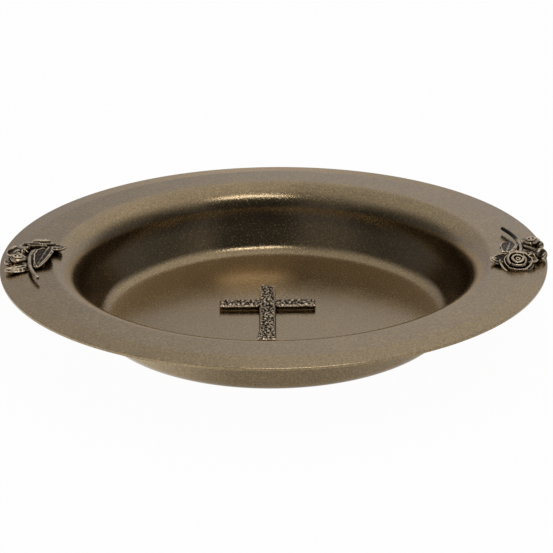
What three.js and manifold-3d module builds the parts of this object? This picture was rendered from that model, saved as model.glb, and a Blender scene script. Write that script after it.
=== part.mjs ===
// Holy water dish: a low spun-metal bowl with a wide flat rim, a rough-cast cross lying on its
// floor, and a cast rose spray on each side of its rim. The castings are held by studs that pass
// through the sheet to a washer and a nut beneath, and the bowl stands on four rubber feet.
// Millimetres, +Z up, standing on z = 0 with the bowl's axis on Z and the cross's foot towards -Y.

import * as THREE from 'three';
import { mergeVertices } from 'three/addons/utils/BufferGeometryUtils.js';
import Module from 'manifold-3d';

const wasm = await Module();
wasm.setup();

const degrees = Math.PI / 180;

// Bowl, measured on its upper side
const rimRadius = 100;
const rimWidth = 27.0;           // from the outer edge to where the wall's line would meet the rim's plane
const bellyInset = 2.4;          // from there to the bend at half height of the wall
const bellyHeight = 13.2;        // of that bend above the floor
const floorInset = 8.1;          // from the rim to where the wall's line would meet the floor's plane
const bowlDepth = 24.8;          // floor to rim
const sheet = 1.0;
const shoulderRadius = 10.4;     // bend from the rim into the wall
const bellyBend = 25;            // the wall is steeper above this bend
const cornerRadius = 5.8;        // bend from the wall into the floor
const lipRadius = 16;            // bend of the turned-down outer edge
const lipAngle = 18 * degrees;
const bowlSides = 64;
const bendStep = 18 * degrees;   // largest facet along a bend

// Cross on the floor, its length centred on the bowl's axis
const crossLength = 51.6;
const crossSpan = 36.1;
const crossBar = 6.3;
const crossThickness = 2.5;
const crossBevel = 0.6;
const crossArmDrop = 17.3;       // from the cross's top to the middle of its arms
const crossShiftX = -2.4;        // from the bowl's axis to the middle of the upright
const crossStudInset = 6.5;      // from the cross's top and foot ends

// Fixings
const fitGap = 0.3;              // clearance round a stud and past its end
const studRadius = 1.5;
const studProud = 0.4;           // stud end below its nut
const socketDepth = 1.8;         // blind hole in a casting
const bossWall = 1.4;            // metal round and over the hole in a spray's boss
const washerRadius = 3.0;
const washerThickness = 0.5;
const sealRadius = 4.0;
const sealThickness = 0.8;
const nutAcrossFlats = 5.5;
const nutHeight = 1.8;
const fixingSides = 16;

// Feet under the floor, tall enough to keep the floor's fixings off the table
const groundGap = 0.5;
const footRadius = 6.0;
const footTaper = 0.8;           // how much narrower a foot is where it stands
const footInset = 8.5;           // from the edge of the flat floor
const footCount = 4;
const footSides = 20;

// Rose spray, in its own frame: z = 0 is the rim's face, and +X points out of the bowl on the right
const bloom = { x: 0.0, y: -15.0, z: 0.6, tilt: 20 * degrees };
const calyxRadius = 4.6;
const calyxHeight = 2.0;
const heartRadius = 1.3;
const heartHeight = 3.5;
const petalThickness = 1.0;
const petalRings = [
  { count: 5, start: 10 * degrees, inner: 2.4, outer: 6.4, height: 1.8, width: 9.2 },
  { count: 5, start: 46 * degrees, inner: 1.8, outer: 4.9, height: 2.6, width: 7.0 },
  { count: 3, start: 20 * degrees, inner: 0.9, outer: 2.5, height: 3.2, width: 5.6 },
];
// The sprig is the knot where the stem, the leaves and the buds' stalks come together
const sprig = { x: 3.2, y: 0.6 };
const sprigRadius = 2.6;
const sprigHeight = 2.2;
const leafTaper = 0.6;           // how much a leaf narrows from its base to its tip
const leafFold = 0.12;           // rise of a leaf's edges for each unit of its half width
const leaves = [
  { base: { x: bloom.x - 1.4, y: bloom.y + 2.6, z: 0.9 }, heading: 172 * degrees,
    length: 8.2, width: 5.2, thickness: 1.4, rise: 0.5 },
  { base: { x: sprig.x + 0.2, y: sprig.y + 1.8, z: 0.8 }, heading: 44 * degrees,
    length: 8.0, width: 6.6, thickness: 1.8, rise: 0.6 },
  { base: { x: bloom.x - 2.8, y: bloom.y + 6.0, z: 1.9 }, heading: 79 * degrees,
    length: 15.0, width: 6.6, thickness: 1.4, rise: -1.0 },
];
const budRadius = 2.5;
const budHeight = 4.0;
const buds = [{ x: 9.2, y: -7.8, z: 1.3 }, { x: 8.0, y: 2.6, z: 1.3 }];
const stalkRadius = 0.9;
const stalkRise = 1.4;           // height of a stalk where it leaves the sprig
const stemRadius = 0.65;
const stemPath = [
  [bloom.x + 0.8, bloom.y + 4.0, 1.6],
  [sprig.x - 0.8, sprig.y - 5.0, 2.1],
  [sprig.x - 0.9, sprig.y + 3.4, 2.0],
  [sprig.x - 2.6, sprig.y + 10.4, 1.9],
  [sprig.x - 5.3, sprig.y + 17.7, 1.8],
];
const stemSides = 8;
const stemSteps = 12;
const stalkSteps = 3;
const castSides = 8;             // facets round a petal, leaf or bud
const castRings = 6;
const calyxSides = 12;
// How far along a spray each stud is; across the rim it keeps to the middle of the flat
const sprayStuds = [{ name: 'bloom', y: bloom.y + 1.6 }, { name: 'leaf', y: sprig.y }];
// Where the sprays sit: round the rim, in from the middle of its flat, and turned about Z
const sprayPlaces = [
  { name: 'right', angle: 0.8 * degrees, inset: 0.3, turn: 0 },
  { name: 'left', angle: 185.2 * degrees, inset: 1.9, turn: 180 * degrees },
];

// Sizes that follow
const holeRadius = studRadius + fitGap;
const openingRadius = rimRadius - rimWidth;
const bellyRadius = openingRadius - bellyInset;
const floorRadius = openingRadius - floorInset;
const lowerWallAngle = Math.atan2(bellyHeight, bellyRadius - floorRadius);
const upperWallAngle = Math.atan2(bowlDepth - bellyHeight, openingRadius - bellyRadius);
const flatFloor = floorRadius - cornerRadius * Math.tan(lowerWallAngle / 2);
const flatInner = openingRadius + shoulderRadius * Math.tan(upperWallAngle / 2);
const flatOuter = rimRadius - lipRadius * Math.sin(lipAngle);
const rimMiddle = (flatInner + flatOuter) / 2;
const bossRadius = holeRadius + bossWall;
const bossHeight = socketDepth + bossWall / 2;
const footHeight = sealThickness + washerThickness + nutHeight + studProud + groundGap;
const floorTop = footHeight + sheet;
const rimTop = floorTop + bowlDepth;
const crossTop = crossLength / 2;
const crossFoot = -crossLength / 2;
const crossArmY = crossTop - crossArmDrop;
const crossStuds = [
  { name: 'top', x: crossShiftX, y: crossTop - crossStudInset },
  { name: 'foot', x: crossShiftX, y: crossFoot + crossStudInset },
];

const bronze = new THREE.MeshStandardMaterial({ color: 0x7d735f, roughness: 0.45, metalness: 0.7 });
const patina = new THREE.MeshStandardMaterial({ color: 0x5a4c34, roughness: 0.5, metalness: 0.8 });
const steel = new THREE.MeshStandardMaterial({ color: 0x9a9a96, roughness: 0.4, metalness: 1.0 });
const rubber = new THREE.MeshStandardMaterial({ color: 0x1c1c1c, roughness: 0.9, metalness: 0.0 });

// A closed geometry as a solid that can be joined and cut
function solidOf(geometry) {
  const bare = geometry.clone();
  bare.deleteAttribute('normal');
  bare.deleteAttribute('uv');
  const merged = mergeVertices(bare);
  return new wasm.Manifold(new wasm.Mesh({
    numProp: 3,
    vertProperties: new Float32Array(merged.getAttribute('position').array),
    triVerts: new Uint32Array(merged.getIndex().array),
  }));
}

function geometryOf(solid) {
  const { vertProperties, triVerts } = solid.getMesh();
  const geometry = new THREE.BufferGeometry();
  geometry.setAttribute('position', new THREE.BufferAttribute(new Float32Array(vertProperties), 3));
  geometry.setIndex(new THREE.BufferAttribute(new Uint32Array(triVerts), 1));
  geometry.computeVertexNormals();
  return geometry;
}

function namedMesh(name, geometry, material) {
  const mesh = new THREE.Mesh(geometry, material);
  mesh.name = name;
  return mesh;
}

// Upright round bar between two heights
function bar(radius, bottom, top, sides, at = { x: 0, y: 0 }) {
  const geometry = new THREE.CylinderGeometry(radius, radius, top - bottom, sides);
  geometry.rotateX(Math.PI / 2);
  geometry.translate(at.x, at.y, (bottom + top) / 2);
  return geometry;
}

// A profile of [radius, height] points turned about Z
function turned(profile, sides) {
  const points = profile.map(([radius, height]) => new THREE.Vector2(radius, height));
  return new THREE.LatheGeometry(points, sides).rotateX(Math.PI / 2);
}

function drilled(solid, holes, bottom, top) {
  const drills = holes.map((hole) => solidOf(bar(holeRadius, bottom, top, fixingSides, hole)));
  return drills.reduce((rest, drill) => rest.subtract(drill), solid);
}

// Half section of a bent sheet: corners of its upper side with their bend radii, and its free end.
// Both sides of a bend share one centre, so the sheet keeps its thickness all along.
function sheetSection(start, corners, end) {
  const upper = [start];
  const lower = [new THREE.Vector2(start.x, start.y - sheet)];
  const stops = [start, ...corners.map((corner) => corner.at), end];
  corners.forEach((corner, index) => {
    const before = stops[index + 1].clone().sub(stops[index]).normalize();
    const after = stops[index + 2].clone().sub(stops[index + 1]).normalize();
    const turn = Math.atan2(before.cross(after), before.dot(after));
    const side = Math.sign(turn);
    const left = new THREE.Vector2(-before.y, before.x);
    const centre = corner.at.clone().addScaledVector(left, side * corner.radius);
    centre.addScaledVector(before, -corner.radius * Math.tan(Math.abs(turn) / 2));
    const steps = Math.max(2, Math.ceil(Math.abs(turn) / bendStep));
    for (let step = 0; step <= steps; step += 1) {
      const normal = left.clone().rotateAround(new THREE.Vector2(), turn * step / steps);
      upper.push(centre.clone().addScaledVector(normal, -side * corner.radius));
      lower.push(centre.clone().addScaledVector(normal, -side * corner.radius - sheet));
    }
  });
  return [...lower, ...upper.reverse()].map((point) => [point.x, point.y]);
}

function bowlGeometry(floorHoles, rimHoles) {
  const lipCorner = flatOuter + lipRadius * Math.tan(lipAngle / 2);
  const lipDrop = lipRadius * (1 - Math.cos(lipAngle));
  const corners = [
    { at: new THREE.Vector2(floorRadius, floorTop), radius: cornerRadius },
    { at: new THREE.Vector2(bellyRadius, floorTop + bellyHeight), radius: bellyBend },
    { at: new THREE.Vector2(openingRadius, rimTop), radius: shoulderRadius },
    { at: new THREE.Vector2(lipCorner, rimTop), radius: lipRadius },
  ];
  const edge = new THREE.Vector2(rimRadius, rimTop - lipDrop);
  const section = sheetSection(new THREE.Vector2(0, floorTop), corners, edge);
  const blank = solidOf(turned(section, bowlSides));
  const withFloorHoles = drilled(blank, floorHoles, floorTop - 2 * sheet, floorTop + sheet);
  return geometryOf(drilled(withFloorHoles, rimHoles, rimTop - 2 * sheet, rimTop + sheet));
}

// A casting cut flat at z = 0, with a blind socket for each stud
function seated(casting, studs) {
  const { min, max } = casting.boundingBox();
  const reach = 4 * Math.hypot(max[0] - min[0], max[1] - min[1]);
  const below = new THREE.BoxGeometry(reach, reach, reach).translate(0, 0, -reach / 2);
  return geometryOf(drilled(casting.subtract(solidOf(below)), studs, -socketDepth, socketDepth));
}

function crossGeometry() {
  const half = crossBar / 2 - crossBevel;
  const reach = crossSpan / 2 - crossBevel;
  const top = crossTop - crossBevel;
  const foot = crossFoot + crossBevel;
  const low = crossArmY - half;
  const high = crossArmY + half;
  const rightSide = [[half, foot], [half, low], [reach, low], [reach, high], [half, high], [half, top]];
  const leftSide = rightSide.map(([x, y]) => [-x, y]).reverse();
  const outline = [...rightSide, ...leftSide].map(([x, y]) => new THREE.Vector2(crossShiftX + x, y));
  const slab = new THREE.ExtrudeGeometry(new THREE.Shape(outline), {
    depth: crossThickness - crossBevel,
    bevelThickness: crossBevel,
    bevelSize: crossBevel,
    bevelSegments: 2,
  });
  return seated(solidOf(slab), crossStuds);
}

// A round pebble one unit across, with its poles on Y, moved point by point into another form
function pebble(place) {
  const geometry = new THREE.SphereGeometry(0.5, castSides, castRings);
  const points = geometry.getAttribute('position');
  const point = new THREE.Vector3();
  for (let index = 0; index < points.count; index += 1) {
    place(point.fromBufferAttribute(points, index));
    points.setXYZ(index, point.x, point.y, point.z);
  }
  return geometry;
}

// Petal: stands round the bloom's axis, flares from its inner to its outer radius and rolls over there
function petal(ring, turn) {
  return pebble((point) => {
    const along = point.y + 0.5;
    const out = ring.inner + (ring.outer - ring.inner) * along * along + petalThickness * point.z;
    const wrap = turn + point.x * ring.width / ring.outer;
    point.set(out * Math.cos(wrap), out * Math.sin(wrap), ring.height * Math.sin(along * Math.PI / 2));
  });
}

function bloomGeometry() {
  const calyx = turned([[0, -bloom.z], [calyxRadius, -bloom.z], [calyxRadius, 0],
    [heartRadius, calyxHeight], [0, calyxHeight]], calyxSides);
  let solid = solidOf(calyx).add(solidOf(bar(heartRadius, 0, heartHeight, castSides)));
  for (const ring of petalRings) {
    for (let index = 0; index < ring.count; index += 1) {
      solid = solid.add(solidOf(petal(ring, ring.start + index * 2 * Math.PI / ring.count)));
    }
  }
  return geometryOf(solid).rotateX(bloom.tilt).translate(bloom.x, bloom.y, bloom.z);
}

function leafGeometry(leaf) {
  const blade = pebble((point) => {
    const along = point.y + 0.5;
    const across = leaf.width * point.x * (1 + leafTaper * (0.5 - along));
    const lift = leaf.rise * along + leafFold * Math.abs(across);
    point.set(leaf.length * along, -across, leaf.thickness * point.z + lift);
  });
  return blade.rotateZ(leaf.heading).translate(leaf.base.x, leaf.base.y, leaf.base.z);
}

function rod(radius, path, steps) {
  const route = new THREE.CatmullRomCurve3(path.map((point) => new THREE.Vector3(...point)));
  return new THREE.ExtrudeGeometry(new THREE.Shape().absarc(0, 0, radius, 0, 2 * Math.PI), {
    steps,
    curveSegments: stemSides / 2,
    bevelEnabled: false,
    extrudePath: route,
  });
}

function budGeometry(bud) {
  const form = pebble((point) => {
    point.set(2 * budRadius * point.x, -2 * budRadius * point.z, budHeight * point.y);
  });
  return form.translate(bud.x, bud.y, bud.z);
}

function stalkGeometry(bud) {
  return rod(stalkRadius, [[sprig.x, sprig.y, stalkRise], [bud.x, bud.y, bud.z]], stalkSteps);
}

function sprayGeometry(studs) {
  const pieces = [
    ...studs.map((stud) => bar(bossRadius, -bossHeight, bossHeight, calyxSides, stud)),
    bloomGeometry(),
    bar(calyxRadius, -calyxHeight, calyxHeight / 2, calyxSides, bloom),
    bar(sprigRadius, -sprigHeight, sprigHeight, calyxSides, sprig),
    ...leaves.map(leafGeometry),
    ...buds.map(budGeometry),
    ...buds.map(stalkGeometry),
    rod(stemRadius, stemPath, stemSteps),
  ];
  const whole = pieces.map(solidOf).reduce((joined, piece) => joined.add(piece));
  return seated(whole, studs);
}

// The studs of a spray in its own frame, each on the middle circle of the rim's flat
function studsOnRim(group) {
  const middle = new THREE.Vector2(group.position.x, group.position.y);
  middle.rotateAround(new THREE.Vector2(), -group.rotation.z);
  return sprayStuds.map(({ name, y }) => {
    const x = Math.sqrt(rimMiddle ** 2 - (middle.y + y) ** 2) - middle.x;
    return { name, x, y };
  });
}

// A flat ring that fits round a stud, with its top face at the height given
function flatRing(outer, thickness, top) {
  const bottom = top - thickness;
  const section = [[holeRadius, bottom], [outer, bottom], [outer, top], [holeRadius, top],
    [holeRadius, bottom]];
  return turned(section, fixingSides);
}

function nut(top) {
  const bottom = top - nutHeight;
  const blank = solidOf(bar(nutAcrossFlats / Math.sqrt(3), bottom, top, 6));
  return geometryOf(drilled(blank, [{ x: 0, y: 0 }], bottom - fitGap, top + fitGap));
}

// Stud, washer and nut below the face that a casting sits on, with a seal where the sheet holds water
function addFixing(group, prefix, stud, seat, sealed) {
  const under = seat - sheet;
  const washerTop = sealed ? under - sealThickness : under;
  const nutTop = washerTop - washerThickness;
  const studBottom = nutTop - nutHeight - studProud;
  const studTop = seat + socketDepth - fitGap;
  const washer = flatRing(washerRadius, washerThickness, washerTop);
  const pieces = [
    namedMesh(`${prefix}_stud_${stud.name}`, bar(studRadius, studBottom, studTop, fixingSides), steel),
    namedMesh(`${prefix}_washer_${stud.name}`, washer, steel),
    namedMesh(`${prefix}_nut_${stud.name}`, nut(nutTop), steel),
  ];
  if (sealed) {
    const seal = flatRing(sealRadius, sealThickness, under);
    pieces.push(namedMesh(`${prefix}_seal_${stud.name}`, seal, rubber));
  }
  for (const piece of pieces) {
    piece.position.set(stud.x, stud.y, 0);
    group.add(piece);
  }
}

const stoup = new THREE.Group();
const rimHoles = [];

for (const place of sprayPlaces) {
  const reach = rimMiddle - place.inset;
  const group = new THREE.Group();
  group.position.set(reach * Math.cos(place.angle), reach * Math.sin(place.angle), 0);
  group.rotation.z = place.turn;
  group.updateMatrix();
  const studs = studsOnRim(group);
  const spray = namedMesh(`rose_spray_${place.name}`, sprayGeometry(studs), patina);
  spray.position.z = rimTop;
  group.add(spray);
  for (const stud of studs) {
    addFixing(group, `rose_${place.name}`, stud, rimTop, false);
    rimHoles.push(new THREE.Vector3(stud.x, stud.y, 0).applyMatrix4(group.matrix));
  }
  stoup.add(group);
}

const cross = namedMesh('cross', crossGeometry(), patina);
cross.position.z = floorTop;
stoup.add(cross);
for (const stud of crossStuds) {
  addFixing(stoup, 'cross', stud, floorTop, true);
}

stoup.add(namedMesh('dish', bowlGeometry(crossStuds, rimHoles), bronze));

const footProfile = [[0, 0], [footRadius - footTaper, 0], [footRadius, footTaper],
  [footRadius, footHeight], [0, footHeight]];
const footCircle = flatFloor - footInset - footRadius;
for (let index = 0; index < footCount; index += 1) {
  const angle = (index + 0.5) * 2 * Math.PI / footCount;
  const foot = namedMesh(`foot_${index + 1}`, turned(footProfile, footSides), rubber);
  foot.position.set(footCircle * Math.cos(angle), footCircle * Math.sin(angle), 0);
  stoup.add(foot);
}

export default stoup;
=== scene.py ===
# Holy water dish: a spun sheet bowl, a rough-cast cross on its floor, a cast rose spray on each side.
# Metres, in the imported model's frame: the bowl's axis on Z, the cross's foot towards -Y.
import math
import random

import bmesh
import bpy
import numpy as np
from mathutils import Matrix, Vector, noise


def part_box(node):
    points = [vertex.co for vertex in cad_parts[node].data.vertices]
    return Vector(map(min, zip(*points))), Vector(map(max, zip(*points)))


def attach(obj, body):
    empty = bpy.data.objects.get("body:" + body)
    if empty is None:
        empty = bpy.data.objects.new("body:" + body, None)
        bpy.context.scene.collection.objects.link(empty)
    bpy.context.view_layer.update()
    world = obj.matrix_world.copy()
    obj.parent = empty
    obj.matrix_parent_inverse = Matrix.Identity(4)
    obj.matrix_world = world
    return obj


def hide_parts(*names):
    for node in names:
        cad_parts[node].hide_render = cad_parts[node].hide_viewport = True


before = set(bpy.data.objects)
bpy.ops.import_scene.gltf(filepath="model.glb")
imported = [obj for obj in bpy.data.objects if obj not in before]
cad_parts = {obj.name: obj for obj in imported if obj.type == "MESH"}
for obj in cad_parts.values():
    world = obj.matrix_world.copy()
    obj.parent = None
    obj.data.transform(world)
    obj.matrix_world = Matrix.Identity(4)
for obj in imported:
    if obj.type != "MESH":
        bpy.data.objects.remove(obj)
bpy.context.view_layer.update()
mm = 0.001
scene = bpy.context.scene
scene.view_settings.view_transform = "Standard"

dishLow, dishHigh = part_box("dish")
crossLow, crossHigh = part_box("cross")
rimRadius = dishHigh.x
floorTop = crossLow.z
sheet = floorTop - dishLow.z
bowlDepth = 24.8 * mm                   # from the rim's face down to the floor's
rimTop = floorTop + bowlDepth
print("frame loaded:", len(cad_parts), "nodes, rim", round(2 * rimRadius / mm), "mm across")


# Camera

camera = {
    "above": math.radians(21.359),      # over the rim's plane
    "distance": 0.8,                    # to the middle of the rim
    "lens": 141.83,
    "aimDown": 0.0104,                  # small turns off the middle of the rim, in radians
    "aimRight": 0.0013,
    "lean": math.radians(-0.576),
    "farthest": 50,                     # it sees no further
}


def addCamera():
    data = bpy.data.cameras.new("camera")
    data.lens = camera["lens"]
    data.clip_end = camera["farthest"]
    eye = bpy.data.objects.new("camera", data)
    scene.collection.objects.link(eye)
    reach = camera["distance"]
    place = (0, -reach * math.cos(camera["above"]), rimTop + reach * math.sin(camera["above"]))
    look = Matrix.Rotation(math.pi / 2 - camera["above"] - camera["aimDown"], 4, "X")
    look = look @ Matrix.Rotation(-camera["aimRight"], 4, "Y")
    look = look @ Matrix.Rotation(camera["lean"], 4, "Z")
    eye.matrix_world = Matrix.Translation(place) @ look
    scene.camera = eye


# Shader sums

class Wire:
    # a socket of a node tree that takes part in sums like a number
    def __init__(self, tree, socket=None):
        self.tree = tree
        self.socket = socket

    def node(self, kind, settings=None, sockets=None, out=0):
        made = self.tree.nodes.new(kind)
        for name, value in (settings or {}).items():
            if name == "stops":
                setStops(made.color_ramp, value)
            else:
                setattr(made, name, value)
        for key, value in (sockets or {}).items():
            if isinstance(value, Wire):
                self.tree.links.new(value.socket, made.inputs[key])
            else:
                made.inputs[key].default_value = value
        return Wire(self.tree, made.outputs[out])

    def maths(self, operation, *values):
        return self.node("ShaderNodeMath", {"operation": operation}, dict(enumerate(values)))

    def __add__(self, other):
        return self.maths("ADD", self, other)

    def __sub__(self, other):
        return self.maths("SUBTRACT", self, other)

    def __rsub__(self, other):
        return self.maths("SUBTRACT", other, self)

    def __mul__(self, other):
        return self.maths("MULTIPLY", self, other)

    __radd__ = __add__
    __rmul__ = __mul__

    def mix(self, first, second):
        settings = {"data_type": "RGBA"}
        return self.node("ShaderNodeMix", settings, {0: self, 6: first, 7: second}, 2)

    def ramp(self, *stops):
        return self.node("ShaderNodeValToRGB", {"stops": stops}, {0: self})

    def between(self, low, high, atLow=0.0, atHigh=1.0):
        sockets = {0: self, 1: low, 2: high, 3: atLow, 4: atHigh}
        return self.node("ShaderNodeMapRange", {"interpolation_type": "SMOOTHSTEP"}, sockets)


def setStops(ramp, stops):
    while len(ramp.elements) < len(stops):
        ramp.elements.new(1.0)
    for element, (place, colour) in zip(ramp.elements, stops):
        element.position = place
        element.color = (*colour, 1.0)


def newFinish(name, constants):
    material = bpy.data.materials.new(name)
    material.use_nodes = True
    shader = material.node_tree.nodes["Principled BSDF"]
    for key, value in constants.items():
        shader.inputs[key].default_value = value
    return material, Wire(material.node_tree), shader


def feed(shader, **wires):
    for key, wire in wires.items():
        name = key.replace("_", " ")
        wire.tree.links.new(wire.socket, shader.inputs[name])


def placeOf(start):
    return start.node("ShaderNodeTexCoord", out="Object")


def noiseOf(start, size, detail=2.0, rough=0.5):
    sockets = {"Vector": placeOf(start), "Scale": 1 / size, "Detail": detail, "Roughness": rough}
    return start.node("ShaderNodeTexNoise", None, sockets)


def bumpOf(height, depth):
    sockets = {"Height": height, "Distance": depth, "Strength": 1.0}
    return height.node("ShaderNodeBump", None, sockets)


# Light and floor

# Each fade, here and in the finishes, gives the two ends of a range and then the level at each
studio = {
    "backSide": (0, 0.93, 0.36),                # towards the pale sweep behind the dish
    "backFade": (-0.5, 0.45, 0.16, 0.53),       # to it from the dim side, where the camera stands
    "darkSide": (0.20, -0.87, 0.45),            # towards the camera and its stand
    "darkFade": (0.84, 0.95, 1.0, 0.26),
    "sideFade": (0.55, 0.92, 1.0, 0.28),        # what is left of the light at both sides
    "acrossFade": (-0.09, 0.01, 0.95, 1.25),    # how it differs from left to right of the middle
    "skyHeight": (0.30, 0.45),                  # where the sweep goes over from low to high
    "skyRise": (0.93, 1.08),                    # and how it brightens there
    "highFade": (0.42, 0.70, 1.0, 1.14),        # more light higher up
    "horizonFade": (0.14, 0.26, 1.0, 0.0),      # and a change at the horizon,
    "horizonChange": (-0.10, 0.10, 0.12, -0.25),    # from left to right of the middle
    "horizonSky": (1.14, 0.97, 0.72),           # colour of the sweep at the horizon,
    "horizonHeight": (0.10, 0.22),              # which goes over here into
    "lowSky": (0.965, 0.99, 1.11),              # its colour low down
    "highSky": (1.0, 0.985, 0.97),              # and high up
    "boxSize": (0.50, 0.15),
    "boxAt": (0.15, -0.44, 0.92),
    "boxWatts": 1.1,
    "floorRadius": 8.0,
    "floorSides": 96,
    "floorColour": (0.93, 0.93, 0.925),
    "floorRoughness": 0.9,
    "floorWhite": 0.975,                        # share of the floor that the camera sees as plain white
    "floorGleam": 0.42,                         # and that metal mirrors as plain white,
    "paintedLightLeft": (-0.06, -0.01, 0.56, 0.0),     # painted light in it: more at the left,
    "paintedLightRight": (0.01, 0.05, 0.0, 0.10),      # at the right
    "paintedLightBack": (0.10, 0.20, 0.0, 0.40),       # and behind the dish
}


def addWorld():
    world = bpy.data.worlds.new("studio")
    scene.world = world
    world.use_nodes = True
    start = Wire(world.node_tree)
    ahead = start.node("ShaderNodeTexCoord", out="Generated")

    def towards(way):
        return start.node("ShaderNodeVectorMath", {"operation": "DOT_PRODUCT"}, {0: ahead, 1: way}, "Value")

    toRight = towards((1, 0, 0))
    up = start.node("ShaderNodeSeparateXYZ", None, {0: ahead}, "Z")
    level = towards(studio["backSide"]).between(*studio["backFade"])
    shade = towards(studio["darkSide"]).between(*studio["darkFade"])
    sides = toRight.maths("ABSOLUTE", toRight).between(*studio["sideFade"])
    height = up.between(*studio["skyHeight"])
    rise = height.between(0, 1, *studio["skyRise"]) * up.between(*studio["highFade"])
    rise = rise * toRight.between(*studio["acrossFade"])
    rise = rise * (1 + up.between(*studio["horizonFade"]) * toRight.between(*studio["horizonChange"]))
    colour = height.mix((*studio["lowSky"], 1), (*studio["highSky"], 1))
    colour = up.between(*studio["horizonHeight"]).mix((*studio["horizonSky"], 1), colour)
    background = world.node_tree.nodes["Background"]
    world.node_tree.links.new(colour.socket, background.inputs["Color"])
    world.node_tree.links.new((level * shade * sides * rise).socket, background.inputs["Strength"])


def addSoftbox():
    data = bpy.data.lights.new("softbox", "AREA")
    data.shape = "RECTANGLE"
    data.size, data.size_y = studio["boxSize"]
    data.energy = studio["boxWatts"]
    lamp = bpy.data.objects.new("softbox", data)
    lamp.location = studio["boxAt"]
    toDish = Vector((0, 0, rimTop)) - lamp.location
    lamp.rotation_euler = toDish.to_track_quat("-Z", "Y").to_euler()
    scene.collection.objects.link(lamp)


def floorFinish():
    constants = {"Base Color": (*studio["floorColour"], 1), "Roughness": studio["floorRoughness"]}
    material, start, shader = newFinish("pale_floor", constants)
    looked = start.node("ShaderNodeLightPath", out="Is Camera Ray")
    glossy = start.node("ShaderNodeLightPath", out="Is Glossy Ray")
    through = start.node("ShaderNodeLightPath", out="Is Transmission Ray")
    across = start.node("ShaderNodeSeparateXYZ", None, {0: placeOf(start)}, "X")
    along = start.node("ShaderNodeSeparateXYZ", None, {0: placeOf(start)}, "Y")
    # what metal mirrors of the floor: plain white, with painted light added at the left, at the right and
    # behind the dish
    whiteAndPaintedLight = across.between(*studio["paintedLightLeft"]) + studio["floorGleam"]
    whiteAndPaintedLight = whiteAndPaintedLight + across.between(*studio["paintedLightRight"])
    whiteAndPaintedLight = whiteAndPaintedLight.maths("MINIMUM", whiteAndPaintedLight + along.between(*studio["paintedLightBack"]), 1.0)
    mirrored = glossy.maths("MAXIMUM", glossy, through) * whiteAndPaintedLight
    seen = looked.maths("MAXIMUM", looked * studio["floorWhite"], mirrored)
    white = start.node("ShaderNodeEmission", None, {"Color": (1, 1, 1, 1), "Strength": 1.0})
    sockets = {0: seen, 1: Wire(start.tree, shader.outputs[0]), 2: white}
    both = start.node("ShaderNodeMixShader", None, sockets)
    output = start.tree.nodes["Material Output"]
    start.tree.links.new(both.socket, output.inputs["Surface"])
    return material


def addFloor():
    bm = bmesh.new()
    bmesh.ops.create_circle(bm, cap_ends=True, segments=studio["floorSides"], radius=studio["floorRadius"])
    mesh = bpy.data.meshes.new("floor")
    bm.to_mesh(mesh)
    bm.free()
    floor = bpy.data.objects.new("floor", mesh)
    mesh.materials.append(floorFinish())
    scene.collection.objects.link(floor)


addCamera()
addWorld()
addSoftbox()
addFloor()
print("camera, studio and floor set")


# Meshes

onAxis = 1e-9                           # a profile's radius under this is a point on the axis


def joinRings(bm, ring, other):
    if len(ring) == 1 and len(other) == 1:
        return
    count = max(len(ring), len(other))
    for index in range(count):
        following = (index + 1) % count
        if len(ring) == 1:
            corners = [ring[0], other[following], other[index]]
        elif len(other) == 1:
            corners = [ring[index], ring[following], other[0]]
        else:
            corners = [ring[index], ring[following], other[following], other[index]]
        bm.faces.new(corners)


# Each ring of points is joined to the next, and capped rings get a face over both ends
def loft(bm, rings, capped=False):
    for ring, other in zip(rings, rings[1:]):
        joinRings(bm, ring, other)
    if capped:
        bm.faces.new(rings[0][::-1])
        bm.faces.new(rings[-1])


# A profile of (radius, height) points turned about Z: it starts and ends on the axis, or closes on itself
def turn(bm, profile, sides, closed=False):
    rings = []
    for radius, height in profile:
        if radius < onAxis:
            rings.append([bm.verts.new((0, 0, height))])
            continue
        angles = [2 * math.pi * index / sides for index in range(sides)]
        points = [(radius * math.cos(angle), radius * math.sin(angle), height) for angle in angles]
        rings.append([bm.verts.new(point) for point in points])
    loft(bm, rings + rings[:1] if closed else rings)


# Edges that turn by more than the sharp angle, in degrees, are shaded sharp
def addPiece(name, mesh, finish, node, sharp=None):
    mesh.name = name
    mesh.shade_smooth()
    if sharp is not None:
        mesh.set_sharp_from_angle(angle=math.radians(sharp))
    mesh.materials.clear()
    mesh.materials.append(finish)
    piece = bpy.data.objects.new(name, mesh)
    scene.collection.objects.link(piece)
    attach(piece, "root")
    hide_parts(node)


def meshOf(bm, name):
    bmesh.ops.recalc_face_normals(bm, faces=bm.faces)
    mesh = bpy.data.meshes.new(name)
    bm.to_mesh(mesh)
    bm.free()
    return mesh


# Dish

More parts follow.
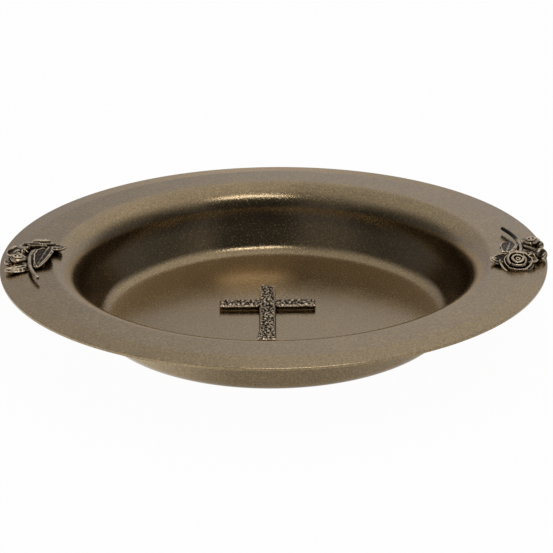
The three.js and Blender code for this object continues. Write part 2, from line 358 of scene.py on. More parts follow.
dish = {
    "rimWidth": 27.0 * mm,              # from the outer edge to where the wall's line meets the rim's plane
    "bellyInset": 2.4 * mm,             # from there to the bend at half height of the wall
    "bellyHeight": 13.2 * mm,
    "floorInset": 8.9 * mm,             # from the rim to where the wall's line meets the floor's plane
    "shoulderBend": 10.4 * mm,
    "bellyBend": 25 * mm,
    "cornerBend": 6.4 * mm,
    "lipWidth": 7.5 * mm,               # the outer edge is turned down
    "lipBend": 5 * mm,
    "lipTurn": math.radians(6.5),
    "edgeBevel": (0.09 * mm, 0.07 * mm),    # on the sheet's cut edge, across and down
    "bendStep": math.radians(3),
    "sides": 288,
    "sharp": 25,                        # degrees
    "grain": (0.70 * mm, 2.0, 0.65),    # speckle of the coat: size, detail and roughness
    "cloud": (14 * mm, 3.0),            # broad mottling under it: size and detail
    "mottle": 0.16,                     # share of the mottling in the tone
    # dark, middle and gold, each with its place in the tone
    "tones": [(0.28, (0.20, 0.146, 0.079)), (0.5, (0.285, 0.210, 0.118)), (0.72, (0.43, 0.316, 0.163))],
    "speckleDepth": 0.062 * mm,
    "gloss": (0.3, 0.7, 0.16, 0.20),    # fade of the roughness over the mottling
    "flake": (0.56, 0.70, 0.0, 0.16),   # more roughness where a flake lies in the coat
    "lacquer": 0.55,
    "lacquerRoughness": 0.14,
    "grazing": (0.90, 0.83, 0.74),      # tint of the coat seen at a low angle
}


# A sheet with its upper face on the given corners, each rounded by its bend, in a section of the dish
def bentSheet(start, corners, end, step):
    stops = [start] + [at for at, bend in corners] + [end]
    upper = [start]
    lower = [start - Vector((0, sheet))]
    for index, (at, bend) in enumerate(corners):
        before = (stops[index + 1] - stops[index]).normalized()
        after = (stops[index + 2] - stops[index + 1]).normalized()
        turning = math.atan2(before.x * after.y - before.y * after.x, before.dot(after))
        side = math.copysign(1, turning)
        left = Vector((-before.y, before.x))
        centre = at + left * side * bend - before * bend * math.tan(abs(turning) / 2)
        steps = max(2, math.ceil(abs(turning) / step))
        for count in range(steps + 1):
            normal = Matrix.Rotation(turning * count / steps, 2) @ left
            upper.append(centre - normal * side * bend)
            lower.append(centre - normal * (side * bend + sheet))
    return upper, lower, normal


def dishProfile():
    opening = rimRadius - dish["rimWidth"]
    across, down = dish["edgeBevel"]
    lipEnd = rimRadius - across
    lipCorner = rimRadius - dish["lipWidth"]
    corners = [
        (Vector((opening - dish["floorInset"], floorTop)), dish["cornerBend"]),
        (Vector((opening - dish["bellyInset"], floorTop + dish["bellyHeight"])), dish["bellyBend"]),
        (Vector((opening, rimTop)), dish["shoulderBend"]),
        (Vector((lipCorner, rimTop)), dish["lipBend"]),
    ]
    end = Vector((lipEnd, rimTop - (lipEnd - lipCorner) * math.tan(dish["lipTurn"])))
    upper, lower, normal = bentSheet(Vector((0, floorTop)), corners, end, dish["bendStep"])
    outer = end + Vector((normal.y, -normal.x)) * across
    return upper + [end, outer - normal * down, outer - normal * sheet] + lower[::-1]


def dishFinish():
    constants = {"Metallic": 1.0, "Specular Tint": (*dish["grazing"], 1)}
    constants["Coat Weight"] = dish["lacquer"]
    constants["Coat Roughness"] = dish["lacquerRoughness"]
    material, start, shader = newFinish("bronze_coat", constants)
    fine = noiseOf(start, *dish["grain"])
    broad = noiseOf(start, *dish["cloud"])
    tone = fine + (broad - 0.5) * dish["mottle"]
    roughness = broad.between(*dish["gloss"]) + fine.between(*dish["flake"])
    feed(shader, Base_Color=tone.ramp(*dish["tones"]), Roughness=roughness,
         Normal=bumpOf(fine, dish["speckleDepth"]))
    return material


def addDish():
    bm = bmesh.new()
    turn(bm, dishProfile(), dish["sides"])
    addPiece("dish_sheet", meshOf(bm, "dish_sheet"), dishFinish(), "dish", dish["sharp"])


addDish()
print("dish made")


# Castings

# Overlapping shells become one skin with soft joints, as a casting has
def fused(mesh, voxel):
    holder = bpy.data.objects.new("holder", mesh)
    scene.collection.objects.link(holder)
    remesh = holder.modifiers.new("fuse", "REMESH")
    remesh.mode = "VOXEL"
    remesh.voxel_size = voxel
    made = bpy.data.meshes.new_from_object(holder.evaluated_get(bpy.context.evaluated_depsgraph_get()))
    bpy.data.objects.remove(holder)
    bpy.data.meshes.remove(mesh)
    return made


def readArray(items, name, width=3):
    values = np.zeros(len(items) * width, np.float32)
    items.foreach_get(name, values)
    return values.reshape(-1, width).astype(float)


# How far each point stands out from its smoothed neighbourhood: 0 in a recess, 1 on a ridge
def storeRelief(mesh, metal):
    places = readArray(mesh.vertices, "co")
    normals = readArray(mesh.vertex_normals, "vector")
    edges = np.zeros(len(mesh.edges) * 2, np.int32)
    mesh.edges.foreach_get("vertices", edges)
    first, second = edges.reshape(-1, 2).T
    degree = np.bincount(np.concatenate([first, second]), minlength=len(places))[:, None]
    smooth = places.copy()
    for _ in range(metal["smoothing"]):
        total = np.zeros_like(smooth)
        np.add.at(total, first, smooth[second])
        np.add.at(total, second, smooth[first])
        smooth = total / degree
    stand = ((places - smooth) * normals).sum(axis=1)
    relief = np.clip(0.5 + 0.5 * stand / metal["span"], 0, 1).astype(np.float32)
    mesh.attributes.new("relief", "FLOAT", "POINT").data.foreach_set("value", relief)


# Dark metal that is bright and smooth where its relief stands out
def castFinish(name, metal):
    material, start, shader = newFinish(name, {"Metallic": 1.0})
    relief = start.node("ShaderNodeAttribute", {"attribute_name": "relief"}, out="Fac")
    fine = noiseOf(start, *metal["grain"])
    tone = relief + (fine - 0.5) * metal["mottle"]
    feed(shader, Base_Color=tone.ramp(*metal["tones"]), Roughness=relief.between(*metal["gloss"]),
         Normal=bumpOf(fine, metal["grainDepth"]))
    return material


# Cross

cross = {
    "upright": 6.4 * mm,
    "arm": 6.5 * mm,
    "armDrop": 17.3 * mm,               # from the top to the middle of the arms
    "footFlare": 1.1 * mm,              # the upright's foot spreads to the left
    "flareLength": 8.8 * mm,
    "voxel": 0.17 * mm,
    "nugget": 1.7 * mm,                 # size of the lumps in its skin
    "drift": (1.9, 0.45),               # they wander: over how many lumps, and by how much of one
    "seed": 3,                          # of that drift
    "dome": 1.5,                        # how steeply a lump falls away to its sides
    "crack": 3.0,                       # how steep the cracks between lumps are
    "shuffle": 7.3,                     # parts the lumps, so that each has a height of its own
    "curl": 1.1 * mm,                   # spacing of the fine ridges that curl over the lumps
    "curlEdge": 2.4,                    # how narrow those ridges are
    "shares": (0.50, 0.26, 0.36),       # of the domes, the lumps' own heights and the ridges in the relief
    "relief": 1.15 * mm,
    "level": 0.58,                      # share of the relief that is cut into the blank
    "sideShare": 0.08,                  # share of the relief on its sides
    "facePower": 8,                     # how soon it weakens where the skin turns away from the face
    "inset": 0.10 * mm,                 # room for the lumps round the outline
    "topInset": 0.32 * mm,              # and over the face
    "edge": 0.58 * mm,                  # width of the slope along its upper edges
    "smoothing": 20,                    # rounds of smoothing that its bright ridges stand out from
    "span": 0.14 * mm,                  # and how far a full ridge does
    "grain": (0.25 * mm, 2.0),          # size and detail
    "grainDepth": 0.012 * mm,
    "mottle": 0.2,
    # recess, body and ridge, each with its place in the tone
    "tones": [(0.25, (0.014, 0.010, 0.006)), (0.58, (0.048, 0.036, 0.024)), (0.98, (0.54, 0.435, 0.31))],
    "gloss": (0.3, 0.9, 0.46, 0.20),    # fade of the roughness from recess to ridge
}


def crossOutline(inset):
    middle = (crossLow.x + crossHigh.x) / 2
    armY = crossHigh.y - cross["armDrop"]
    halfUp = cross["upright"] / 2 - inset
    halfArm = cross["arm"] / 2 - inset
    reach = (crossHigh.x - crossLow.x) / 2 - inset
    top = crossHigh.y - inset
    foot = crossLow.y + inset
    right = [(halfUp, foot), (halfUp, armY - halfArm), (reach, armY - halfArm)]
    right += [(reach, armY + halfArm), (halfUp, armY + halfArm), (halfUp, top)]
    left = [(-x, y) for x, y in reversed(right)]
    left[-1:] = [(-halfUp, foot + cross["flareLength"]), (-halfUp - cross["footFlare"], foot)]
    return [(middle + x, y) for x, y in right + left]


def crossBlank():
    bm = bmesh.new()
    top = crossHigh.z - cross["topInset"]
    edge = cross["edge"]
    rings = []
    for back, z in [(0, crossLow.z), (0, top - edge), (edge, top)]:
        rings.append([bm.verts.new((x, y, z)) for x, y in crossOutline(cross["inset"] + back)])
    loft(bm, rings, True)
    return fused(meshOf(bm, "cross_blank"), cross["voxel"])


# Lumps with dark cracks between them, and fine ridges that curl over the lumps
def nuggetHeight(place):
    spread, wander = cross["drift"]
    drift = noise.noise_vector(place / (spread * cross["nugget"])) * wander
    spots, centres = noise.voronoi(place / cross["nugget"] + drift)
    dome = max(0, 1 - cross["dome"] * spots[0] ** 2)
    crack = min(1, cross["crack"] * (spots[1] - spots[0]))
    lump = 0.5 + 0.5 * noise.cell(centres[0] * cross["shuffle"])
    curl = 1 - min(1, cross["curlEdge"] * abs(noise.noise(place / cross["curl"] + drift * 2)))
    domeShare, lumpShare, curlShare = cross["shares"]
    return domeShare * dome * crack ** 0.5 + lumpShare * lump + curlShare * curl ** 1.5


def addCross():
    noise.seed_set(cross["seed"])
    mesh = crossBlank()
    normals = readArray(mesh.vertex_normals, "vector")
    sideShare = cross["sideShare"]
    for vertex, normal in zip(mesh.vertices, normals):
        facingUp = sideShare + (1 - sideShare) * max(0, normal[2]) ** cross["facePower"]
        push = cross["relief"] * facingUp * (nuggetHeight(vertex.co) - cross["level"])
        pushed = vertex.co + Vector(normal) * push
        limits = zip(pushed, crossLow, crossHigh)
        vertex.co = Vector(min(max(value, low), high) for value, low, high in limits)
    mesh.update()
    storeRelief(mesh, cross)
    addPiece("cross_casting", mesh, castFinish("rough_cast", cross), "cross")


addCross()
print("cross made")


# Rose sprays

# Lengths without mm, from here to the stem, are in millimetres, with z = 0 on the rim's face
spray = {
    "voxel": 0.18 * mm,
    # degrees round the rim, distance from the bowl's axis, and degrees turned
    "places": {"right": (0.8, 87.96, 0), "left": (185.2, 86.36, 180)},
    # mounds over the studs: place, radius, height
    "pads": [((0.5, 0.6), 3.4, 1.9), ((0.2, -13.4), 3.6, 1.75)],
    "padShoulder": [(0.95, 0.5), (0.75, 0.8)],      # shares of their radius and height
    "padDepth": 1,                      # under the rim's face, where the casting is cut flat
    "padSides": 32,
    "smoothing": 10,                    # rounds of smoothing that its bright ridges stand out from
    "span": 0.14 * mm,                  # and how far a full ridge does
    "grain": (0.35 * mm, 3.0),          # size and detail
    "grainDepth": 0.010 * mm,
    "mottle": 0.2,
    # recess, body and ridge, each with its place in the tone
    "tones": [(0.25, (0.018, 0.013, 0.008)), (0.55, (0.053, 0.040, 0.027)), (0.88, (0.70, 0.57, 0.41))],
    "gloss": (0.3, 0.9, 0.45, 0.24),    # fade of the roughness from recess to ridge
    # painted highlights and painted shade on each casting, which raise or lower its relief and so its tone:
    # place, radius, how much
    "paintedLightAndShade": {
        "right": [((-0.3, 12.5), 7.0, -0.55), ((8.0, 6.8), 3.2, 0.20), ((8.5, -4.0), 4.5, -0.10),
                  ((-2.0, -1.5), 5.0, 0.08), ((-8.8, -12.6), 1.8, 0.22),
                  ((-5.4, -13.0), 2.4, -0.14)],
        "left": [((8.0, 6.8), 3.2, 0.30)],
    },
}


# A closed shell of even thickness about a sheet given as surface(u, v), u from -1 to 1 and v from 0 to 1
def shell(bm, surface, across, along, thickness):
    grid = [[surface(2 * i / across - 1, j / along) for i in range(across + 1)] for j in range(along + 1)]
    faces = {}
    for side in (0.5, -0.5):
        rows = []
        for j in range(along + 1):
            row = []
            for i in range(across + 1):
                du = grid[j][min(i + 1, across)] - grid[j][max(i - 1, 0)]
                dv = grid[min(j + 1, along)][i] - grid[max(j - 1, 0)][i]
                normal = du.cross(dv).normalized()
                row.append(bm.verts.new(grid[j][i] + normal * thickness * side))
            rows.append(row)
        faces[side] = rows
        for j in range(along):
            for i in range(across):
                corners = [rows[j][i], rows[j][i + 1], rows[j + 1][i + 1], rows[j + 1][i]]
                bm.faces.new(corners if side > 0 else corners[::-1])
    rims = []
    for rows in faces.values():
        loop = rows[0] + [row[-1] for row in rows[1:-1]] + rows[-1][::-1]
        rims.append(loop + [row[0] for row in rows[-2:0:-1]])
    joinRings(bm, rims[0], rims[1])


# A rod along a path, from its thick end to its thin one
def tube(bm, path, thick, thin, sides=12):
    last = len(path) - 1
    rings = []
    for index, point in enumerate(path):
        ahead = path[min(index + 1, last)] - path[max(index - 1, 0)]
        facing = ahead.to_track_quat("Z", "Y").to_matrix()
        radius = thick + (thin - thick) * index / last
        ring = []
        for count in range(sides):
            angle = 2 * math.pi * count / sides
            spoke = Vector((math.cos(angle), math.sin(angle), 0)) * radius
            ring.append(bm.verts.new(point + facing @ spoke))
        rings.append(ring)
    loft(bm, rings, True)


# Points along a smooth curve through the given ones
def curve(points, steps):
    ends = [points[0] * 2 - points[1]] + points + [points[-1] * 2 - points[-2]]
    made = []
    for before, start, stop, after in zip(ends, ends[1:], ends[2:], ends[3:]):
        for count in range(steps):
            t = count / steps
            bend = (stop - before) * t
            square = (before * 2 - start * 5 + stop * 4 - after) * t * t
            cube = (start * 3 - before - stop * 3 + after) * t * t * t
            made.append(start + (bend + square + cube) / 2)
    made.append(points[-1].copy())
    return made


# A closed form that form(spot) makes of a ball of radius 1
def ball(bm, form, sides, rings):
    loops = []
    for j in range(rings + 1):
        polar = math.pi * j / rings
        if j in (0, rings):
            loops.append([bm.verts.new(form(Vector((0, 0, math.cos(polar)))))])
            continue
        loop = []
        for i in range(sides):
            angle = 2 * math.pi * i / sides
            flat = math.sin(polar)
            spot = Vector((flat * math.cos(angle), flat * math.sin(angle), math.cos(polar)))
            loop.append(bm.verts.new(form(spot)))
        loops.append(loop)
    loft(bm, loops)


def addTo(bm, made, place):
    bmesh.ops.transform(made, matrix=place, verts=made.verts)
    mesh = bpy.data.meshes.new("part")
    made.to_mesh(mesh)
    made.free()
    bm.from_mesh(mesh)
    bpy.data.meshes.remove(mesh)


bloom = {
    "at": (0.1, -15.2, 0.6),
    "tilt": math.radians(20),
    "heartTurns": 1.3,
    "heartRadius": (0.3, 1.0),          # where its winding starts and ends
    "heartTop": 2.9,
    "heartFall": 0.2,                   # how much lower its outer end is
    "heartSheet": 0.45,                 # thickness
    "heartGrid": (64, 8),
    "petal": 0.85,                      # thickness
    "petalGrid": (22, 14),
    "cupPower": 1.2,                    # how a petal steepens from foot to lip
    "lipRoll": (0.8, 0.2),              # where on a petal its lip starts to curl, and the share that does
    "lipFall": 0.5,                     # how far the lip falls for what it curls out
    "droop": 0.06,                      # how much a lip falls away to its sides
    "corner": 0.09,                     # how far a lip's two corners stand out
    "tuck": 0.10,                       # how far one side of a petal lies outside the next
    "uneven": 0.15,                     # how much one petal differs from the next
    "shift": 0.09,                      # how far it stands off its even place, in spacings
    "seed": 5,
    # petals in a ring, first one's angle, foot radius, lip radius, height, half width as an angle, curl
    "rings": [
        (3, 80, 0.5, 1.85, 2.9, 60, 0.10),
        (4, 2, 1.0, 3.3, 2.5, 47, 0.18),
        (5, 54, 2.0, 4.8, 1.7, 41, 0.30),
        (3, 210, 2.8, 5.9, 0.9, 34, 0.45),
    ],
    "base": [(0, -1.5), (3.2, -1.5), (4.2, 0.2), (2.6, 1.1), (0, 1.5)],     # what carries the petals
    "baseSides": 32,
}


# A cupped petal about the Z axis: u runs across it, v from its foot to its lip
def petalSheet(foot, lip, height, turned, half, curl):
    rollStart, rollLength = bloom["lipRoll"]

    def at(u, v):
        w = v * (1 - bloom["droop"] * u * u)
        roll = max(0, w - rollStart) / rollLength
        out = foot + (lip - foot) * (1 - (1 - w) ** 2) + curl * roll * roll
        out *= 1 + bloom["corner"] * u * u * w
        out += bloom["tuck"] * u
        rise = height * w ** bloom["cupPower"] - bloom["lipFall"] * curl * roll * roll
        angle = turned + u * half
        return Vector((out * math.cos(angle), out * math.sin(angle), rise))
    return at


# The bloom's heart is one sheet, wound up about the Z axis
def heartSheet(u, v):
    wound = (u + 1) / 2
    angle = wound * bloom["heartTurns"] * 2 * math.pi
    inner, outer = bloom["heartRadius"]
    out = inner + (outer - inner) * wound
    top = bloom["heartTop"] - bloom["heartFall"] * wound
    return Vector((out * math.cos(angle), out * math.sin(angle), top * v))


def addPetals(bm, rings):
    chance = random.Random(bloom["seed"])
    for count, first, foot, lip, height, half, curl in rings:
        for index in range(count):
            grown = 1 + bloom["uneven"] * chance.uniform(-1, 1)
            shifted = index + bloom["shift"] * chance.uniform(-1, 1)
            turned = math.radians(first + 360 * shifted / count)
            reach = lip * (0.5 + 0.5 * grown)
            petal = petalSheet(foot, reach, height * grown, turned, math.radians(half), curl)
            shell(bm, petal, *bloom["petalGrid"], bloom["petal"])


def addBloom(bm):
    made = bmesh.new()
    shell(made, heartSheet, *bloom["heartGrid"], bloom["heartSheet"])
    addPetals(made, bloom["rings"])
    turn(made, bloom["base"], bloom["baseSides"])
    addTo(bm, made, Matrix.Translation(bloom["at"]) @ Matrix.Rotation(bloom["tilt"], 4, "X"))


# A leaf's blade is cupped by its fold, its tip rises and curls up, a low power of its outline is blunt,
# and its roll leans it to one side
leaves = [
    {"base": (-1.4, -13.2, 0.8), "heading": 173, "length": 7.7, "half": 3.3, "rise": 0.2,
     "fold": 0.20, "curl": 0.5, "power": 0.50, "thick": 1.4, "roll": -0.16},
    {"base": (3.4, 5.2, 0.6), "heading": 24, "length": 7.4, "half": 2.3, "rise": 0.2,
     "fold": 0.06, "curl": 0.0, "power": 0.5, "thick": 1.7, "roll": 0},
    {"base": (-3.2, -8.6, 2.0), "heading": 78, "length": 14.6, "half": 3.0, "rise": -1.4,
     "fold": 0.50, "curl": 0.3, "power": 0.7, "thick": 1.0, "roll": 0},
    {"base": (2.8, -14.6, 0.8), "heading": 10, "length": 4.6, "half": 2.5, "rise": 0.5,
     "fold": 0.30, "curl": 0.3, "power": 0.7, "thick": 0.9, "roll": 0},
]
# What all the blades share
blade = {
    "grid": (28, 36),
    "teeth": (0.06, 9),                 # depth and count of the waves in its outline
    "foot": 0.06,                       # how far along the swell of its outline it starts
    "widest": 0.82,                     # a lower power moves its widest place to the foot
    "least": 0.05,                      # half width at its very tip
    "tip": 0.7,                         # where its tip starts to curl
    "rib": (0.50, 0.15, 0.5),           # height, half width and taper of the middle rib
    "edge": (0.35, 0.75),               # height of its raised edge, and where that starts
    "veins": (0.13, 26, 7, 6),          # height, closeness, slant, and how soon they rise from the rib
}


def leafSheet(leaf):
    facing = Matrix.Translation(leaf["base"]) @ Matrix.Rotation(math.radians(leaf["heading"]), 4, "Z")
    toothDepth, toothCount = blade["teeth"]
    ribHeight, ribHalf, ribTaper = blade["rib"]
    edgeHeight, edgeStart = blade["edge"]
    veinHeight, veinCount, veinSlant, veinRise = blade["veins"]

    def at(u, v):
        aside = abs(u)
        teeth = 1 + toothDepth * math.sin(v * toothCount * math.pi) * (1 - v)
        grown = blade["foot"] + (1 - blade["foot"]) * v
        swell = math.sin(math.pi * grown ** blade["widest"]) ** leaf["power"]
        side = u * (leaf["half"] * swell * teeth + blade["least"])
        lift = leaf["rise"] * v + leaf["fold"] * abs(side) ** 1.5 / leaf["half"] ** 0.5
        lift += leaf["curl"] * max(0, (v - blade["tip"]) / (1 - blade["tip"])) ** 2 + leaf["roll"] * side
        lift += ribHeight * math.exp(-(u / ribHalf) ** 2) * (1 - ribTaper * v)
        lift += edgeHeight * max(0, (aside - edgeStart) / (1 - edgeStart)) ** 2
        wave = math.sin(v * veinCount - aside * veinSlant)
        lift += veinHeight * wave * (1 - aside) * min(1, veinRise * aside)
        return facing @ Vector((leaf["length"] * v, side, lift))
    return at


buds = {
    # a closed bud that lies on its side, with the depth, count and twist of its folds
    "side": {"at": (9.2, -8.0, 1.2), "radius": 2.6, "length": 2.7, "heading": 4, "lean": 74,
             "folds": (0.13, 4, 4.0), "taper": 0.22, "grid": (48, 24)},
    # an open one, with the radius, half length and height of its core, and its petals as in the bloom
    "open": {"at": (7.3, 1.6, 1.4), "lean": -12, "core": (0.9, 1.6, 1.3), "grid": (20, 12),
             "rings": [(3, 0, 0.5, 1.4, 2.6, 66, 0.10), (4, 40, 0.8, 2.4, 2.0, 50, 0.20)]},
    "hip": {"at": (9.8, 1.4, 1.3), "size": (1.9, 1.9, 1.7), "grid": (28, 16)},   # behind the open bud
    # thin leaves in a star under the closed bud, with their radius at its middle and at their tips
    "sepals": {"at": (6.3, -9.2, 2.0), "headings": (25, 95, 150, 215, 285, 335), "reach": 2.8,
               "drop": 0.5, "bow": 0.45, "radius": (0.5, 0.125), "steps": 5},
}
stem = {
    "path": [(0.8, -11.0, 1.6), (2.4, -4.4, 2.1), (2.3, 4.0, 2.0), (0.8, 11.0, 1.9), (-2.1, 18.3, 1.8)],
    "radius": (0.85, 0.70),             # at the bloom and at its free end
    "steps": 10,
    "sides": 16,
    "knot": (3.2, 0.6, 1.4),            # where the buds' stalks leave it
    "stalk": 0.8,                       # radius of a stalk
    "stalkSteps": 6,
    "stalkEnd": 0.6,                    # height of its end over the bud's own place
    "stalkBow": 0.3,
}


def addSideBud(bm):
    bud = buds["side"]
    foldDepth, foldCount, foldTwist = bud["folds"]

    def form(spot):
        swirl = 1 + foldDepth * math.sin(foldCount * math.atan2(spot.y, spot.x) + foldTwist * spot.z)
        taper = 1 - bud["taper"] * max(0, spot.z)
        wide = bud["radius"] * swirl * taper
        return Vector((spot.x * wide, spot.y * wide, spot.z * bud["length"]))

    made = bmesh.new()
    ball(made, form, *bud["grid"])
    place = Matrix.Translation(bud["at"]) @ Matrix.Rotation(math.radians(bud["heading"]), 4, "Z")
    addTo(bm, made, place @ Matrix.Rotation(math.radians(bud["lean"]), 4, "Y"))


def addOpenBud(bm):
    bud = buds["open"]
    hip = buds["hip"]
    wide, tall, height = bud["core"]
    made = bmesh.new()
    ball(made, lambda spot: Vector((spot.x * wide, spot.y * wide, height + spot.z * tall)), *bud["grid"])
    addPetals(made, bud["rings"])
    addTo(bm, made, Matrix.Translation(bud["at"]) @ Matrix.Rotation(math.radians(bud["lean"]), 4, "Y"))
    ball(bm, lambda spot: Vector(hip["at"]) + spot * Vector(hip["size"]), *hip["grid"])


def addSepals(bm):
    star = buds["sepals"]
    middle = Vector(star["at"])
    for heading in star["headings"]:
        away = Vector((math.cos(math.radians(heading)), math.sin(math.radians(heading)), 0))
        tip = middle + away * star["reach"] - Vector((0, 0, star["drop"]))
        bow = (middle + tip) / 2 + Vector((0, 0, star["bow"]))
        tube(bm, curve([middle, bow, tip], star["steps"]), *star["radius"])


def addStalks(bm):
    stemPath = curve([Vector(point) for point in stem["path"]], stem["steps"])
    tube(bm, stemPath, *stem["radius"], stem["sides"])
    knot = Vector(stem["knot"])
    for name in ("side", "open"):
        tip = Vector(buds[name]["at"]) + Vector((0, 0, stem["stalkEnd"]))
        bow = (knot + tip) / 2 + Vector((0, 0, stem["stalkBow"]))
        tube(bm, curve([knot, bow, tip], stem["stalkSteps"]), stem["stalk"], stem["stalk"])


def addPads(bm):
    depth = spray["padDepth"]
    for (x, y), radius, height in spray["pads"]:
        made = bmesh.new()
        shoulder = [(wide * radius, tall * height) for wide, tall in spray["padShoulder"]]
        profile = [(0, -depth), (radius, -depth)] + shoulder + [(0, height)]
        turn(made, profile, spray["padSides"])
        addTo(bm, made, Matrix.Translation((x, y, 0)))


# The casting is cut flat where it sits on the rim
def cutFlat(mesh):
    bm = bmesh.new()
    bm.from_mesh(mesh)
    everything = bm.verts[:] + bm.edges[:] + bm.faces[:]
    bmesh.ops.bisect_plane(bm, geom=everything, plane_co=(0, 0, 0), plane_no=(0, 0, -1), clear_outer=True)
    cutEdges = [edge for edge in bm.edges if edge.is_boundary]
    bmesh.ops.holes_fill(bm, edges=cutEdges, sides=0)
    bm.to_mesh(mesh)
    bm.free()


def sprayMesh():
    bm = bmesh.new()
    addBloom(bm)
    for leaf in leaves:
        shell(bm, leafSheet(leaf), *blade["grid"], leaf["thick"])
    addSideBud(bm)
    addOpenBud(bm)
    addSepals(bm)
    addStalks(bm)
    addPads(bm)
    bmesh.ops.scale(bm, vec=(mm, mm, mm), verts=bm.verts)
    mesh = fused(meshOf(bm, "spray"), spray["voxel"])
    storeRelief(mesh, spray)
    cutFlat(mesh)
    return mesh


# Painted highlight and shade: the relief, and with it the tone, is raised or lowered round a few places of
# one casting
def paintLightAndShade(mesh, spots):
    places = readArray(mesh.vertices, "co")[:, :2] / mm
    relief = readArray(mesh.attributes["relief"].data, "value", 1)[:, 0]
    for middle, radius, amount in spots:
        distance = np.linalg.norm(places - np.array(middle), axis=1)
        relief += amount * np.exp(-(distance / radius) ** 4)
    mesh.attributes["relief"].data.foreach_set("value", np.clip(relief, 0, 1).astype(np.float32))


def addSprays():
    finish = castFinish("cast_patina", spray)
    casting = sprayMesh()
    for side, (angle, reach, turned) in spray["places"].items():
        away = Matrix.Rotation(math.radians(angle), 4, "Z") @ Vector((reach * mm, 0, rimTop))
        mesh = casting.copy()
        # painted highlights and shade, which differ from one copy of the casting to the other
        paintLightAndShade(mesh, spray["paintedLightAndShade"][side])
        mesh.transform(Matrix.Translation(away) @ Matrix.Rotation(math.radians(turned), 4, "Z"))
        addPiece("spray_" + side, mesh, finish, "rose_spray_" + side)
    bpy.data.meshes.remove(casting)


addSprays()
print("rose sprays made")


# Fixings and feet, under the sheet

fixing = {
    "pitch": 0.5 * mm,
    "threadDepth": 0.3 * mm,
    "threadSides": 28,
    "threadSteps": 8,                   # in one pitch
    "hole": 1.6 * mm,                   # radius
    "ringSides": 56,
    "washerEdge": 0.08 * mm,
    "sealEdge": 0.25 * mm,
    "nutSides": 72,
    "nutFace": 0.97,                    # radius of its flat face, as a share of half its width
    "nutChamfer": math.radians(30),     # slope of its corners
    "nutEdge": 0.25 * mm,               # chamfer of its hole
    # degrees of the edges that are shaded sharp
    "sharp": {"washer": 40, "seal": 60, "nut": 28, "stud": 70, "foot": 40},
}
foot = {
    "round": 0.8 * mm,                  # of its lower edge
    "roundSteps": 8,
    "edge": 0.3 * mm,                   # chamfer of its upper edge
    "groove": (3.0 * mm, 3.8 * mm),     # radii of the groove in its sole
    "grooveDepth": 0.35 * mm,
    "grooveSlope": 0.1 * mm,
    "sides": 64,
}
zinc = {
    "dull": (0.50, 0.50, 0.48),
    "pale": (0.66, 0.66, 0.64),
    "spangle": (1.2 * mm, 3.0),         # size and detail
    "patches": (0.35, 0.65),            # where in the spangle dull goes over into pale
    "gloss": (0.3, 0.7, 0.28, 0.42),    # fade of the roughness over the spangle
    "grain": 0.2 * mm,
    "grainDepth": 0.004 * mm,
}
rubber = {
    "tone": (0.020, 0.020, 0.020),
    "paler": 1.8,                       # its pale patches, against its tone
    "cloud": (2.5 * mm, 3.0),           # size and detail
    "patches": (0.35, 0.7),             # where in the cloud it goes over into them
    "gloss": (0.3, 0.7, 0.62, 0.78),    # fade of the roughness over the cloud
    "shine": 0.35,
    "grain": 0.3 * mm,
    "grainDepth": 0.01 * mm,
}


# What is made about the Z axis goes to the middle of its node's box
def placed(bm, low, high):
    bmesh.ops.translate(bm, vec=((low.x + high.x) / 2, (low.y + high.y) / 2, 0), verts=bm.verts)
    return bm


def ringPiece(low, high, edge):
    bm = bmesh.new()
    inner = fixing["hole"]
    outer = (high.x - low.x) / 2
    section = [
        (inner, low.z + edge), (inner + edge, low.z), (outer - edge, low.z), (outer, low.z + edge),
        (outer, high.z - edge), (outer - edge, high.z), (inner + edge, high.z), (inner, high.z - edge),
    ]
    turn(bm, section, fixing["ringSides"], True)
    return placed(bm, low, high)


def washerPiece(low, high):
    return ringPiece(low, high, fixing["washerEdge"])


def sealPiece(low, high):
    return ringPiece(low, high, fixing["sealEdge"])


def nutPiece(low, high):
    bm = bmesh.new()
    flat = min(high.x - low.x, high.y - low.y) / 2
    sides = fixing["nutSides"]
    slope = math.tan(fixing["nutChamfer"])
    face = flat * fixing["nutFace"]
    hole = fixing["hole"]
    edge = fixing["nutEdge"]
    turned = math.pi / 6 if (high.x - low.x) > (high.y - low.y) else math.pi / 3

    # no radius gives the hexagon itself
    def ring(radius, level):
        made = []
        for index in range(sides):
            angle = 2 * math.pi * index / sides
            hexRadius = flat / math.cos((angle % (math.pi / 3)) - math.pi / 6)
            out = hexRadius if radius is None else radius
            drop = max(0, hexRadius - face) * slope
            place = (out * math.cos(angle + turned), out * math.sin(angle + turned), level(drop))
            made.append(bm.verts.new(place))
        return made

    rings = [
        ring(hole, lambda drop: low.z + edge),
        ring(hole + edge, lambda drop: low.z),
        ring(face, lambda drop: low.z),
        ring(None, lambda drop: low.z + drop),
        ring(None, lambda drop: high.z - drop),
        ring(face, lambda drop: high.z),
        ring(hole + edge, lambda drop: high.z),
        ring(hole, lambda drop: high.z - edge),
    ]
    loft(bm, rings + rings[:1])
    return placed(bm, low, high)


# A thread runs the whole length, and both ends are chamfered to its root
def studPiece(low, high):
    bm = bmesh.new()
    radius = (high.x - low.x) / 2
    depth = fixing["threadDepth"]
    sides = fixing["threadSides"]
    steps = math.ceil((high.z - low.z) / fixing["pitch"] * fixing["threadSteps"])
    rings = []
    for level in range(steps + 1):
        z = low.z + (high.z - low.z) * level / steps
        ring = []
        for index in range(sides):
            angle = 2 * math.pi * index / sides
            phase = ((z - low.z) / fixing["pitch"] - index / sides) % 1
            out = radius - depth * (1 - abs(2 * phase - 1))
            out = min(out, radius - depth + min(z - low.z, high.z - z))
            ring.append(bm.verts.new((out * math.cos(angle), out * math.sin(angle), z)))
        rings.append(ring)
    loft(bm, rings, True)
    return placed(bm, low, high)


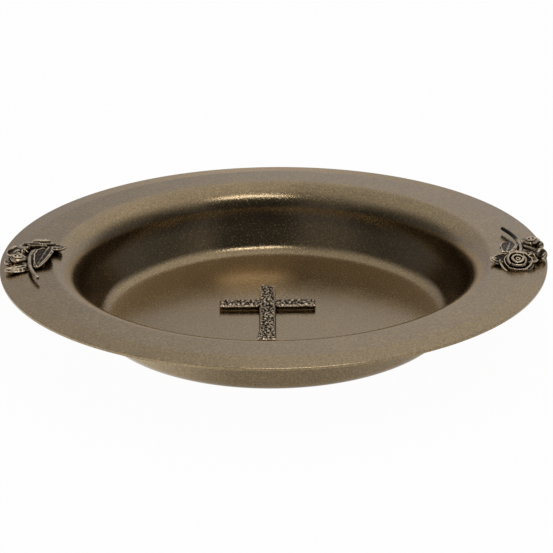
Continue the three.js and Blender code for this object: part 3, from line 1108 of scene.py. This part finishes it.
def footPiece(low, high):
    bm = bmesh.new()
    outer = (high.x - low.x) / 2
    inGroove, outGroove = foot["groove"]
    depth = foot["grooveDepth"]
    slope = foot["grooveSlope"]
    bend = foot["round"]
    edge = foot["edge"]
    stand = outer - bend
    profile = [(0, low.z), (inGroove, low.z), (inGroove + slope, low.z + depth)]
    profile += [(outGroove - slope, low.z + depth), (outGroove, low.z), (stand, low.z)]
    for count in range(1, foot["roundSteps"] + 1):
        angle = math.pi / 2 * count / foot["roundSteps"]
        profile.append((stand + bend * math.sin(angle), low.z + bend * (1 - math.cos(angle))))
    profile += [(outer, high.z - edge), (outer - edge, high.z), (0, high.z)]
    turn(bm, profile, foot["sides"])
    return placed(bm, low, high)


def zincFinish():
    material, start, shader = newFinish("zinc_plate", {"Metallic": 1.0})
    spangle = noiseOf(start, *zinc["spangle"])
    colour = spangle.between(*zinc["patches"]).mix((*zinc["dull"], 1), (*zinc["pale"], 1))
    feed(shader, Base_Color=colour, Roughness=spangle.between(*zinc["gloss"]),
         Normal=bumpOf(noiseOf(start, zinc["grain"]), zinc["grainDepth"]))
    return material


def rubberFinish(name):
    material, start, shader = newFinish(name, {"Specular IOR Level": rubber["shine"]})
    cloud = noiseOf(start, *rubber["cloud"])
    pale = tuple(rubber["paler"] * value for value in rubber["tone"])
    colour = cloud.between(*rubber["patches"]).mix((*rubber["tone"], 1), (*pale, 1))
    feed(shader, Base_Color=colour, Roughness=cloud.between(*rubber["gloss"]),
         Normal=bumpOf(noiseOf(start, rubber["grain"]), rubber["grainDepth"]))
    return material


def addFixings():
    plating = zincFinish()
    # kind, what its nodes' names hold, shape, finish and slot
    kinds = [
        ("washer", "_washer_", washerPiece, plating, "zinc_steel"),
        ("seal", "_seal_", sealPiece, rubberFinish("seal_rubber"), "seal_rubber"),
        ("nut", "_nut_", nutPiece, plating, "zinc_steel"),
        ("stud", "_stud_", studPiece, plating, "zinc_steel"),
        ("foot", "foot_", footPiece, rubberFinish("foot_rubber"), "foot_rubber"),
    ]
    for node in sorted(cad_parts):
        name = node + "_made"
        for kind, mark, shape, finish, slot in kinds:
            if mark in node:
                mesh = meshOf(shape(*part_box(node)), name)
                addPiece(name, mesh, finish, node, fixing["sharp"][kind])


addFixings()
print("fixings and feet made")
